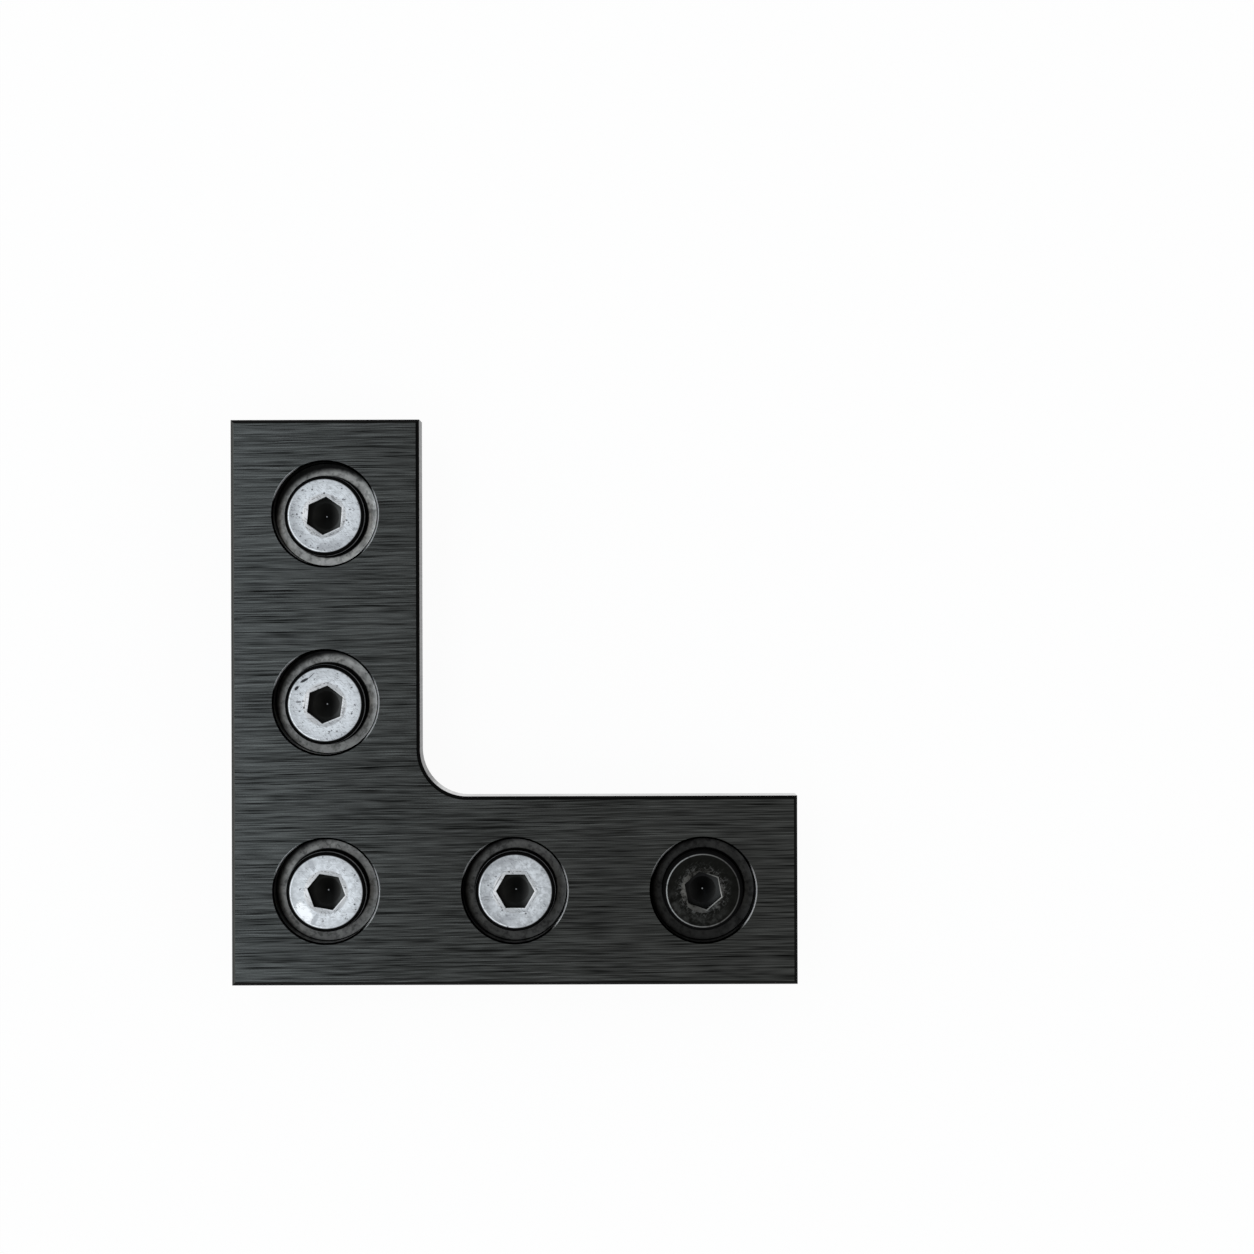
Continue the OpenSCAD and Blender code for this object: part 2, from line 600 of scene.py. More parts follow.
@dataclass(frozen=True)
class BrushedAnodised:
    """Black anodised aluminium, brushed along X on its faces and plainly machined in its counterbores, with
    painted shade on its bevels, counterbore walls and floors and painted highlights on the rims.
    """

    front: float
    seat: float
    pitch: float
    bore_radius: float
    face: Colour = (0.0402, 0.0415, 0.0395)
    # Painted shade: the bevels turn this black, as if they mirrored dark surroundings.
    edge: Colour = (0.004, 0.004, 0.004)
    side: Colour = (0.04, 0.041, 0.042)
    floor: Colour = (0.235, 0.229, 0.217)
    # Painted shade on the counterbores' walls.
    shaded_wall: Colour = (0.01, 0.01, 0.01)
    rim_highlight: Colour = (0.95, 0.95, 0.95)
    layers: Tuple[BrushLayer, ...] = (
        BrushLayer(length=11.0, width=0.15, seed=0.0, show=(0.2, 0.8), weight=0.4),
        BrushLayer(length=3.0, width=0.1, seed=7.0, show=(0.2, 0.8), weight=0.35),
        BrushLayer(length=14.0, width=0.11, seed=21.0, show=(0.64, 0.78), weight=0.3),
        BrushLayer(length=12.0, width=0.12, seed=31.0, show=(0.36, 0.24), weight=-0.2),
    )
    rim_highlights: Tuple[RimHighlight, ...] = (
        RimHighlight(middle=-8.0, ends=(0.76, 0.9), strength=1.0),
        RimHighlight(middle=142.0, ends=(0.9, 0.98), strength=0.6),
    )
    wander_grain: Span = (14.0, 4.0)
    wander_seed: float = 3.0
    wander_width: float = 0.3
    brush_slant: float = 0.012
    broad_grain: Span = (20.0, 0.9)
    broad_seed: float = 13.0
    broad_weight: float = 0.25
    brush_contrast: float = 2.4
    brush_depth: float = 0.008
    flat_up: Span = (0.95, 0.995)
    upright_up: Span = (0.2, 0.05)
    flank_along: Span = (0.6, 0.9)
    lit_edge_across: Span = (-0.3, -0.6)
    wall_depth: Span = (0.4, 0.6)
    floor_depth: Span = (0.3, 0.1)
    bore_margin: Span = (0.17, 0.07)
    rim_depth: Span = (0.3, 0.2)
    rim_highlight_offset: float = 0.15
    rim_highlight_half: float = 0.11
    smear_turns: float = 3.2
    smear_width: float = 1.4
    smear_show: Span = (0.32, 0.68)
    smear_weight: float = 0.6
    blot_turns: float = 9.0
    blot_width: float = 0.5
    blot_show: Span = (0.38, 0.52)
    blot_weight: float = 0.4
    grain_size: float = 0.5
    grain_weight: float = 0.5
    floor_base: float = 0.2
    side_base: float = 0.75
    face_roughness: float = 0.23
    brush_roughness: float = 0.08
    side_roughness: float = 0.12
    flank_polish: float = 0.22
    floor_roughness: float = 0.27
    rim_highlight_roughness: float = 0.4

    @staticmethod
    def below(z: Signal, height: float, depth: Span) -> Signal:
        """Rise from 0 at the first depth below a height to 1 at the second."""
        return z.step(height - depth[0], height - depth[1])

    def streaks(self, shader: Shader, x: Signal, y: Signal) -> Signal:
        """Brush marks that run along X and wander a little.

        Args:
            shader: Material under construction.
            x: Place along the marks, in millimetres.
            y: Place across the marks, in millimetres.

        Returns:
            Marks about 0.5.
        """
        bend_x, bend_y = self.wander_grain
        wander = shader.noise(shader.vector(x / bend_x, y / bend_y, self.wander_seed), detail=0.0)
        across = y - x * self.brush_slant + (wander - 0.5) * self.wander_width
        broad_x, broad_y = self.broad_grain
        broad = shader.noise(shader.vector(x / broad_x, across / broad_y, self.broad_seed), detail=1.0)
        marks = broad * self.broad_weight
        for layer in self.layers:
            where = shader.vector(x / layer.length, across / layer.width, layer.seed)
            marks = marks + shader.noise(where, detail=0.0).step(*layer.show) * layer.weight
        return marks

    def machining(self, shader: Shader, x: Signal, y: Signal, reach: Signal, angle: Signal) -> Signal:
        """Smears and blots that the cutter left round a counterbore's floor.

        Args:
            shader: Material under construction.
            x: Place along X, in millimetres.
            y: Place along Y, in millimetres.
            reach: Distance from the hole's axis, in millimetres.
            angle: Angle round the hole, in radians.

        Returns:
            Factor on the floors' colour.
        """
        smear_place = shader.vector(
            angle * self.smear_turns, reach / self.smear_width, (x + y) / self.pitch
        )
        blot_place = shader.vector(angle * self.blot_turns, reach / self.blot_width, (x - y) / self.pitch)
        smears = shader.noise(smear_place, detail=4.0, roughness=0.65).step(*self.smear_show)
        blots = shader.noise(blot_place, detail=2.0, roughness=0.6).step(*self.blot_show)
        return self.floor_base + smears * self.smear_weight + blots * self.blot_weight

    def build(self) -> bpy.types.Material:
        """Make the material.

        Returns:
            The finished material.
        """
        shader = Shader("brushed_black_anodised")
        x, y, z = shader.place()
        across, along, up = shader.normal()
        flat = abs(up).step(*self.flat_up)
        upright = abs(up).step(*self.upright_up)
        flank = abs(along).step(*self.flank_along) * upright
        u = ((x / self.pitch + 0.5).math("FRACT") - 0.5) * self.pitch
        v = ((y / self.pitch + 0.5).math("FRACT") - 0.5) * self.pitch
        angle = v.math("ARCTAN2", u)
        reach = (u * u + v * v).math("SQRT")
        outside, inside = (self.bore_radius + margin for margin in self.bore_margin)
        sunk = self.below(z, self.front, self.wall_depth) * self.below(z, self.seat, self.floor_depth)
        in_bore = sunk * reach.step(outside, inside)
        on_floor = in_bore * flat
        size = self.grain_size
        grain = shader.noise(shader.vector(x / size, y / size, z / size), detail=3.0, roughness=0.6)
        marks = self.streaks(shader, x, y)
        brushed = shader.tint(self.face, 1.0 + (marks - 0.5) * self.brush_contrast)
        shade = FloorShade(self.bore_radius)
        floor_tone = self.machining(shader, x, y, reach, angle) + grain * self.grain_weight
        # Painted shade close round each head, and painted light and shade across the floors, dark along
        # their upper left walls.
        floor_tone = floor_tone * shade.beside_head(u, v, y) * shade.sheen(x, y, reach, angle)
        sides = shader.tint(self.side, self.side_base + grain * self.grain_weight)
        # Painted shade on the bevels, with painted light on those that face left, which keep the face's
        # colour.
        bevel_light_and_shade = shader.blend(across.step(*self.lit_edge_across), self.edge, self.face)
        colour = shader.blend(flat, bevel_light_and_shade, brushed)
        colour = shader.blend(upright, colour, sides)
        colour = shader.blend(on_floor, colour, shader.tint(self.floor, floor_tone))
        # Painted shade: the counterbores' walls are dark.
        colour = shader.blend(in_bore * (1 - flat), colour, self.shaded_wall)
        # Painted highlights on the rims' bevels, at the right and the upper left of each hole.
        arcs = self.rim_highlights[0].cover(angle)
        for rim_highlight in self.rim_highlights[1:]:
            arcs = arcs.math("MAXIMUM", rim_highlight.cover(angle))
        rim = reach.band(self.bore_radius + self.rim_highlight_offset, self.rim_highlight_half)
        arcs = arcs * self.below(z, self.front, self.rim_depth) * rim
        colour = shader.blend(arcs, colour, self.rim_highlight)
        roughness = self.face_roughness + (marks - 0.5) * self.brush_roughness * (1 - in_bore)
        roughness = roughness + upright * self.side_roughness - flank * self.flank_polish
        roughness = roughness + on_floor * self.floor_roughness + arcs * self.rim_highlight_roughness
        normal = shader.bump(marks * (1 - in_bore), self.brush_depth * MM)
        return shader.metal(colour, roughness, normal)


@dataclass(frozen=True)
class Mark:
    """A worn or dirty patch on a screw head, as an ellipse in millimetres from the screw's axis."""

    place: Span
    reach: Span
    tilt: float
    colour: Colour
    strength: float = 1.0
    ragged: float = 0.5
    fray: Span = (1.15, 0.75)

    def cover(self, u: Signal, v: Signal, clouds: Signal) -> Signal:
        """How far the mark covers the surface.

        Args:
            u: Place from the axis along X.
            v: Place from the axis along Y.
            clouds: Noise that frays the mark's edge.

        Returns:
            0 outside the mark and its strength inside.
        """
        turn = math.radians(self.tilt)
        across, along = u - self.place[0], v - self.place[1]
        long = (across * math.cos(turn) + along * math.sin(turn)) / self.reach[0]
        short = (along * math.cos(turn) - across * math.sin(turn)) / self.reach[1]
        distance = (long * long + short * short).math("SQRT") + (clouds - 0.5) * self.ragged * 2
        return distance.step(*self.fray) * self.strength


@dataclass(frozen=True)
class Wear:
    """How one screw's head is worn: its tone, where it is stained, and what marks it has."""

    tone: float = 1.0
    stain_angle: float = 0.0
    stain: float = 0.0
    pitting: float = 1.0
    mottle: float = 0.5
    marks: Tuple[Mark, ...] = ()


@dataclass(frozen=True)
class HeadZones:
    """The parts of a screw head that a finish tells apart."""

    u: Signal
    v: Signal
    z: Signal
    reach: Signal
    angle: Signal
    socket: Signal
    lit_wall: Signal
    point: Signal
    mouth: Signal
    shoulder_shade: Signal
    top: Signal
    hexagon_edge: Signal

    def toward(self, angle: float) -> Signal:
        """Cosine of the angle round the axis from a direction in degrees."""
        return (self.angle - math.radians(angle)).math("COSINE")

    def arc_band(
        self, radius: float, half: float, angle: float, spread: float, blur: float = 0.5
    ) -> Signal:
        """Part of a ring about the axis.

        Args:
            radius: Radius of the ring's middle.
            half: Half of the ring's width.
            angle: Angle of the part's middle, in degrees.
            spread: Cosine of the angle from there at which the part ends.
            blur: How far the cosine rises from there to the full strength.

        Returns:
            1 on the middle of the part.
        """
        return self.reach.band(radius, half) * self.toward(angle).step(spread, spread + blur) * self.top


@dataclass(frozen=True)
class HeadFinish:
    """What the finishes of all screws share."""

    place: Span
    crown: float
    height: float
    flats: float
    turn: float
    seed: float
    wear: Wear
    # Painted shade in the socket and on the head's shoulder, painted light on the socket's lit side and a
    # painted glint on the drilled point.
    socket_shade: Colour = (0.018, 0.018, 0.017)
    lit_hollow: Colour = (0.12, 0.12, 0.115)
    shade: Colour = (0.003, 0.003, 0.003)
    glint: Colour = (0.3, 0.3, 0.3)
    flat_radius: float = 3.79
    mouth_radius: float = 2.3
    mouth_blur: float = 0.05
    wall_up: Span = (0.6, 0.3)
    wall_depth: Span = (0.4, 0.5)
    seat_blur: float = 0.02
    shoulder_blur: float = 0.12
    shoulder_up: Span = (0.15, 0.35)
    sunk_depth: Span = (0.9, 1.0)
    side_shade: float = 0.7
    lit_wall_across: Span = (-0.4, -0.9)
    lit_wall_depth: Span = (1.6, 0.3)
    lit_bottom: Span = (0.4, 1.8)
    point_radius: Span = (0.09, 0.05)
    top_depth: Span = (0.6, 0.5)
    edge_offset: float = 0.06
    edge_half: float = 0.1
    relief: float = 0.006

    def hexagon(self, u: Signal, v: Signal) -> Signal:
        """Half of the width across flats of the hexagon that passes through a point.

        Args:
            u: Place from the axis along X.
            v: Place from the axis along Y.

        Returns:
            The distance from the axis, measured square to the nearest flat.
        """
        sides = []
        corner = 360 / HEXAGON_SIDES
        for number in range(HEXAGON_SIDES // 2):
            turn = math.radians(self.turn + corner / 2 + corner * number)
            sides.append(abs(u * math.cos(turn) + v * math.sin(turn)))
        return sides[0].math("MAXIMUM", sides[1]).math("MAXIMUM", sides[2])

    def zones(self, shader: Shader) -> HeadZones:
        """Find the parts of the head.

        Args:
            shader: Material under construction.

        Returns:
            The parts, as masks.
        """
        x, y, z = shader.place()
        across, _, up = shader.normal()
        u, v = x - self.place[0], y - self.place[1]
        reach = (u * u + v * v).math("SQRT")
        depth = self.crown - z
        inside = reach.step(self.mouth_radius + self.mouth_blur, self.mouth_radius)
        walls = abs(up).step(*self.wall_up).math("MAXIMUM", depth.step(*self.wall_depth))
        head = depth.step(self.height + self.seat_blur, self.height - self.seat_blur)
        side = reach.step(self.flat_radius, self.flat_radius + self.shoulder_blur) * head
        # Painted shade: the shoulder's rounding and the sides sunk in the plate are fully shaded, the sides
        # above the plate partly.
        shaded = up.step(*self.shoulder_up).math("MAXIMUM", depth.step(*self.sunk_depth))
        edge = self.hexagon(u, v).band(self.flats / 2 + self.edge_offset, self.edge_half)
        return HeadZones(
            u=u,
            v=v,
            z=z,
            reach=reach,
            angle=v.math("ARCTAN2", u),
            socket=inside * walls * head,
            lit_wall=across.step(*self.lit_wall_across) * depth.step(*self.lit_wall_depth),
            point=reach.step(*self.point_radius) * head,
            mouth=inside * (1 - walls),
            shoulder_shade=side * shaded.math("MAXIMUM", self.side_shade),
            top=depth.step(*self.top_depth),
            hexagon_edge=edge * (1 - walls),
        )

    def marked(self, shader: Shader, zones: HeadZones, colour: Signal, clouds: Signal) -> Signal:
        """Paint this head's own marks over a colour.

        Args:
            shader: Material under construction.
            zones: The parts of the head.
            colour: Colour under the marks.
            clouds: Noise that frays the marks.

        Returns:
            The colour with the marks.
        """
        for mark in self.wear.marks:
            colour = shader.blend(mark.cover(zones.u, zones.v, clouds), colour, mark.colour)
        return colour

    def hollowed(self, shader: Shader, zones: HeadZones, colour: Signal, bottom: float) -> Signal:
        """Paint shade into the socket, painted light on its lit wall and bottom, and a painted glint on the
        drilled point at its bottom, over a colour.

        Args:
            shader: Material under construction.
            zones: The parts of the head.
            colour: Colour of the head.
            bottom: How much the right of the socket's bottom is lit.

        Returns:
            The colour with the socket.
        """
        lit = zones.lit_wall.math("MAXIMUM", zones.u.step(*self.lit_bottom) * bottom)
        colour = shader.blend(zones.socket, colour, shader.blend(lit, self.socket_shade, self.lit_hollow))
        return shader.blend(zones.point, colour, self.glint)


@dataclass(frozen=True)
class PitLayer:
    """One size of pits: their spacing along X and Y, where they show, and their strength."""

    spacing: Span
    seed: float
    show: Span
    patches: Span
    strength: float


@dataclass(frozen=True)
class BrightZinc(HeadFinish):
    """Bright zinc with pits and stains on the head, with painted shade in the socket and on the head's
    shoulder and sides, and painted highlights on its edges.
    """

    bright: Colour = (0.58, 0.595, 0.61)
    mouth: Colour = (0.66, 0.68, 0.70)
    # Painted highlight on the hexagon's edges and along the disc's edge.
    edge_highlight: Colour = (0.85, 0.86, 0.87)
    grey: Colour = (0.2, 0.205, 0.215)
    pit: Colour = (0.05, 0.05, 0.055)
    pit_layers: Tuple[PitLayer, ...] = (
        PitLayer(spacing=(0.7, 0.6), seed=0.0, show=(0.2, 0.1), patches=(0.36, 0.5), strength=1.0),
        PitLayer(spacing=(0.34, 0.28), seed=2.0, show=(0.26, 0.1), patches=(0.36, 0.56), strength=0.7),
    )
    patch_size: float = 0.9
    patch_seed: float = 4.0
    pitting_shift: float = 0.2
    ragged_size: float = 0.16
    ragged_seed: float = 6.0
    ragged: float = 0.3
    slant_grain: Span = (0.1, 1.0)
    slant_seed: float = 9.0
    slant_show: Span = (0.58, 0.68)
    level_grain: Span = (1.2, 0.09)
    level_seed: float = 11.0
    level_show: Span = (0.6, 0.7)
    line_patches: Span = (0.3, 0.42)
    line_strength: float = 0.5
    pit_cover: float = 0.85
    cloud_size: float = 1.3
    cloud_weight: float = 0.4
    grain_size: float = 0.2
    grain_weight: float = 0.28
    blot_size: float = 0.55
    blot_seed: float = 20.0
    blot_show: Span = (0.42, 0.58)
    blot_weight: float = 0.3
    base_level: float = 0.66
    fade_radius: Span = (2.6, 4.0)
    fade: float = 0.2
    mouth_lit_from: float = 145.0
    mouth_swing: float = 0.25
    mouth_cover: float = 0.8
    edge_lit_from: float = -30.0
    edge_ends: Span = (0.1, 0.7)
    edge_cover: float = 0.8
    stain_ring: Span = (3.3, 1.1)
    stain_spread: float = -0.2
    stain_show: Span = (0.3, 0.65)
    dash_offset: float = 0.33
    dash_half: float = 0.08
    dash_show: Span = (0.45, 0.56)
    dash_patches: Span = (0.4, 0.55)
    dash_cover: float = 0.9
    edge_highlight_inset: float = 0.02
    edge_highlight_half: float = 0.09
    edge_highlight_middle: float = 212.0
    edge_highlight_spread: float = 0.3
    grain_relief: float = 0.3
    roughness: float = 0.5
    cloud_roughness: float = 0.14

    def pits(self, shader: Shader, zones: HeadZones) -> Signal:
        """Scattered small pits and thin scratches, denser in some places.

        Args:
            shader: Material under construction.
            zones: The parts of the head.

        Returns:
            1 in a pit.
        """
        u, v, seed = zones.u, zones.v, self.seed

        def clouds(across: Signal, along: Signal, grain: Span, layer: float) -> Signal:
            """Noise of a grain, apart from the other layers."""
            place = shader.vector(across / grain[0], along / grain[1], seed + layer)
            return shader.noise(place, detail=1.0)

        patches = clouds(u, v, (self.patch_size, self.patch_size), self.patch_seed)
        dense = patches + (self.wear.pitting - 1.0) * self.pitting_shift
        fray = clouds(u, v, (self.ragged_size, self.ragged_size), self.ragged_seed)
        slanting = clouds(u + v, u - v, self.slant_grain, self.slant_seed)
        level = clouds(u, v, self.level_grain, self.level_seed)
        lines = slanting.step(*self.slant_show).math("MAXIMUM", level.step(*self.level_show))
        worn = lines * dense.step(*self.line_patches) * self.line_strength
        for layer in self.pit_layers:
            where = shader.vector(u / layer.spacing[0] + seed, v / layer.spacing[1], seed + layer.seed)
            spots = (shader.specks(where) + (fray - 0.5) * self.ragged).step(*layer.show)
            worn = worn.math("MAXIMUM", spots * dense.step(*layer.patches) * layer.strength)
        return worn * zones.top

    def build(self) -> bpy.types.Material:
        """Make the material.

        Returns:
            The finished material.
        """
        shader = Shader("bright_zinc")
        zones = self.zones(shader)
        u, v, z, wear = zones.u, zones.v, zones.z, self.wear
        size = self.cloud_size
        place = shader.vector(u / size, v / size, z / size + self.seed)
        clouds = shader.noise(place, detail=3.0, roughness=0.6)
        size = self.grain_size
        grain = shader.noise(shader.vector(u / size, v / size, z / size + self.seed))
        size = self.blot_size
        place = shader.vector(u / size, v / size, self.seed + self.blot_seed)
        blots = shader.noise(place, detail=3.0, roughness=0.6)
        mottle = (blots.step(*self.blot_show) - 0.5) * self.blot_weight * wear.mottle
        level = self.base_level + clouds * self.cloud_weight + grain * self.grain_weight + mottle
        fade = 1.0 - zones.reach.step(*self.fade_radius) * self.fade
        colour = shader.tint(self.bright, level * fade * wear.tone)
        # Painted light: the socket's mouth bevel is lighter on the side toward 145 degrees.
        mouth_lighting = zones.toward(self.mouth_lit_from) * self.mouth_swing + 1.0
        colour = shader.blend(zones.mouth * self.mouth_cover, colour, shader.tint(self.mouth, mouth_lighting))
        # Painted highlight on the hexagon's edges on the side toward -30 degrees.
        edge = zones.hexagon_edge * zones.toward(self.edge_lit_from).step(*self.edge_ends)
        colour = shader.blend(edge * self.edge_cover, colour, self.edge_highlight)
        stain = zones.arc_band(*self.stain_ring, wear.stain_angle, self.stain_spread)
        colour = shader.blend(stain * clouds.step(*self.stain_show) * wear.stain, colour, self.grey)
        dashes = self.hexagon(u, v).band(self.flats / 2 + self.dash_offset, self.dash_half)
        dashes = dashes * grain.step(*self.dash_show) * clouds.step(*self.dash_patches) * zones.top
        colour = shader.blend(dashes * self.dash_cover, colour, self.grey)
        # Painted highlight along the disc's edge at the lower left.
        edge_highlight_radius = self.flat_radius - self.edge_highlight_inset
        edge_highlight = zones.arc_band(edge_highlight_radius, self.edge_highlight_half, self.edge_highlight_middle, self.edge_highlight_spread)
        colour = shader.blend(edge_highlight, colour, self.edge_highlight)
        colour = self.marked(shader, zones, colour, clouds)
        pits = self.pits(shader, zones)
        colour = shader.blend(pits * self.pit_cover, colour, self.pit)
        # Painted shade on the head's shoulder and sides, darkest where they sit in the plate.
        colour = shader.blend(zones.shoulder_shade, colour, self.shade)
        colour = self.hollowed(shader, zones, colour, 1.0)
        normal = shader.bump(clouds + grain * self.grain_relief - pits, self.relief * MM)
        roughness = self.roughness + clouds * self.cloud_roughness
        return shader.metal(colour, roughness, normal, 1 - zones.shoulder_shade)


@dataclass(frozen=True)
class BlackOxide(HeadFinish):
    """Black oxide, worn bright along the head's edge and scratched round the socket, with painted light on
    one side of the edge ring, the mouth and the hexagon's edges, and painted shade on the shoulder.
    """

    socket_shade: Colour = (0.014, 0.014, 0.014)
    shade: Colour = (0.004, 0.004, 0.004)
    black: Colour = (0.0075, 0.0075, 0.0065)
    # Worn metal; also the colour of the painted highlights on the edge ring and the hexagon's edges.
    worn: Colour = (0.28, 0.28, 0.27)
    scratched: Colour = (0.11, 0.11, 0.105)
    cloud_size: float = 0.8
    base_level: float = 0.3
    cloud_weight: float = 1.4
    ring_offset: float = 0.04
    ring_half: float = 0.1
    ring_show: Span = (0.2, 0.5)
    ring_lit_from: float = 190.0
    ring_level: float = 0.6
    ring_swing: float = 0.4
    stain_ring: Span = (3.3, 0.75)
    stain_spread: float = 0.2
    stain_show: Span = (0.36, 0.62)
    ray_bend: float = 0.7
    ray_turns: float = 9.0
    ray_length: float = 0.9
    ray_show: Span = (0.53, 0.6)
    ray_reach: Span = (3.1, 2.1)
    slip_grain: Span = (0.09, 0.7)
    slip_show: Span = (0.58, 0.68)
    slip_reach: Span = (3.5, 2.2)
    slip_strength: float = 0.8
    scuff_ring: Span = (2.05, 0.3)
    scuff_show: Span = (0.42, 0.6)
    scuff_strength: float = 0.5
    scratch_cover: float = 0.6
    mouth_lit_from: float = 200.0
    mouth_ends: Span = (-0.6, 0.6)
    mouth_show: Span = (0.35, 0.6)
    mouth_cover: float = 0.7
    edge_lit_from: float = -10.0
    edge_ends: Span = (-0.2, 0.8)
    bottom_light: float = 0.35
    roughness: float = 0.4
    cloud_roughness: float = 0.1

    def scratches(self, shader: Shader, zones: HeadZones, clouds: Signal) -> Signal:
        """Scratches that run outwards from the socket, where the key slipped.

        Args:
            shader: Material under construction.
            zones: The parts of the head.
            clouds: Noise that breaks them up.

        Returns:
            1 on a scratch.
        """
        u, v, reach = zones.u, zones.v, zones.reach
        bent = zones.angle + (clouds - 0.5) * self.ray_bend
        ray_place = shader.vector(bent * self.ray_turns, reach / self.ray_length, self.seed)
        rays = shader.noise(ray_place, roughness=0.6).step(*self.ray_show) * reach.step(*self.ray_reach)
        across, along = self.slip_grain
        slips = shader.noise(shader.vector((u - v) / across, (u + v) / along, self.seed), detail=1.0)
        slips = slips.step(*self.slip_show) * reach.step(*self.slip_reach) * self.slip_strength
        scuffs = reach.band(*self.scuff_ring) * clouds.step(*self.scuff_show) * self.scuff_strength
        return ((rays + slips + scuffs) * zones.top).math("MINIMUM", 1.0)

    def build(self) -> bpy.types.Material:
        """Make the material.

        Returns:
            The finished material.
        """
        shader = Shader("black_oxide")
        zones = self.zones(shader)
        size = self.cloud_size
        place = shader.vector(zones.u / size, zones.v / size, zones.z / size + self.seed)
        clouds = shader.noise(place, detail=4.0, roughness=0.65)
        colour = shader.tint(self.black, self.base_level + clouds * self.cloud_weight)
        stain = zones.arc_band(*self.stain_ring, self.wear.stain_angle, self.stain_spread)
        stain = stain * clouds.step(*self.stain_show) * self.wear.stain
        colour = shader.blend(stain, colour, self.scratched)
        colour = self.marked(shader, zones, colour, clouds)
        # Painted shade on the head's shoulder and sides, darkest where they sit in the plate.
        colour = shader.blend(zones.shoulder_shade, colour, self.shade)
        scratches = self.scratches(shader, zones, clouds)
        colour = shader.blend(scratches * self.scratch_cover, colour, self.scratched)
        # Worn grey on the socket's mouth bevel, painted only on its side toward 200 degrees as painted
        # light.
        mouth = zones.mouth * clouds.step(*self.mouth_show)
        mouth = mouth * zones.toward(self.mouth_lit_from).step(*self.mouth_ends) * self.mouth_cover
        colour = shader.blend(mouth, colour, self.scratched)
        # Worn bright ring along the head's edge, with painted light that makes it brightest toward 190
        # degrees.
        ring = zones.reach.band(self.flat_radius + self.ring_offset, self.ring_half)
        ring_light = zones.toward(self.ring_lit_from) * self.ring_swing + self.ring_level
        ring = ring * clouds.step(*self.ring_show) * ring_light
        # Painted highlight on the hexagon's edges on the side toward -10 degrees.
        edge = zones.hexagon_edge * zones.toward(self.edge_lit_from).step(*self.edge_ends)
        worn_and_lit = ring.math("MAXIMUM", edge)
        colour = shader.blend(worn_and_lit, colour, self.worn)
        colour = self.hollowed(shader, zones, colour, self.bottom_light)
        normal = shader.bump(clouds, self.relief * MM)
        roughness = self.roughness + clouds * self.cloud_roughness
        return shader.metal(colour, roughness, normal, 1 - zones.shoulder_shade * (1 - worn_and_lit))


@dataclass(frozen=True)
class FloorPaper:
    """Pale paper that looks white and still takes the shadow."""

    colour: Colour = (0.85, 0.85, 0.85)
    glow: float = 0.95

    def build(self) -> bpy.types.Material:
        """Make the material.

        Returns:
            The finished material.
        """
        shader = Shader("floor_paper")
        path = shader.node("ShaderNodeLightPath")
        rays = ("Is Camera Ray", "Is Glossy Ray", "Is Transmission Ray")
        camera, glossy, through = (Signal(shader, path.outputs[ray]) for ray in rays)
        direct = (camera + glossy + through).math("MINIMUM", 1.0)
        paper = shader.node("ShaderNodeBsdfDiffuse", inputs={"Color": (*self.colour, 1.0)})
        white = shader.node("ShaderNodeEmission", inputs={"Color": (1.0, 1.0, 1.0, 1.0), "Strength": 1.0})
        mixed = shader.node(
            "ShaderNodeMixShader",
            inputs={
                0: direct * self.glow,
                1: Signal(shader, paper.outputs[0]),
                2: Signal(shader, white.outputs[0]),
            },
        )
        shader.node("ShaderNodeOutputMaterial", inputs={"Surface": Signal(shader, mixed.outputs[0])})
        return shader.material


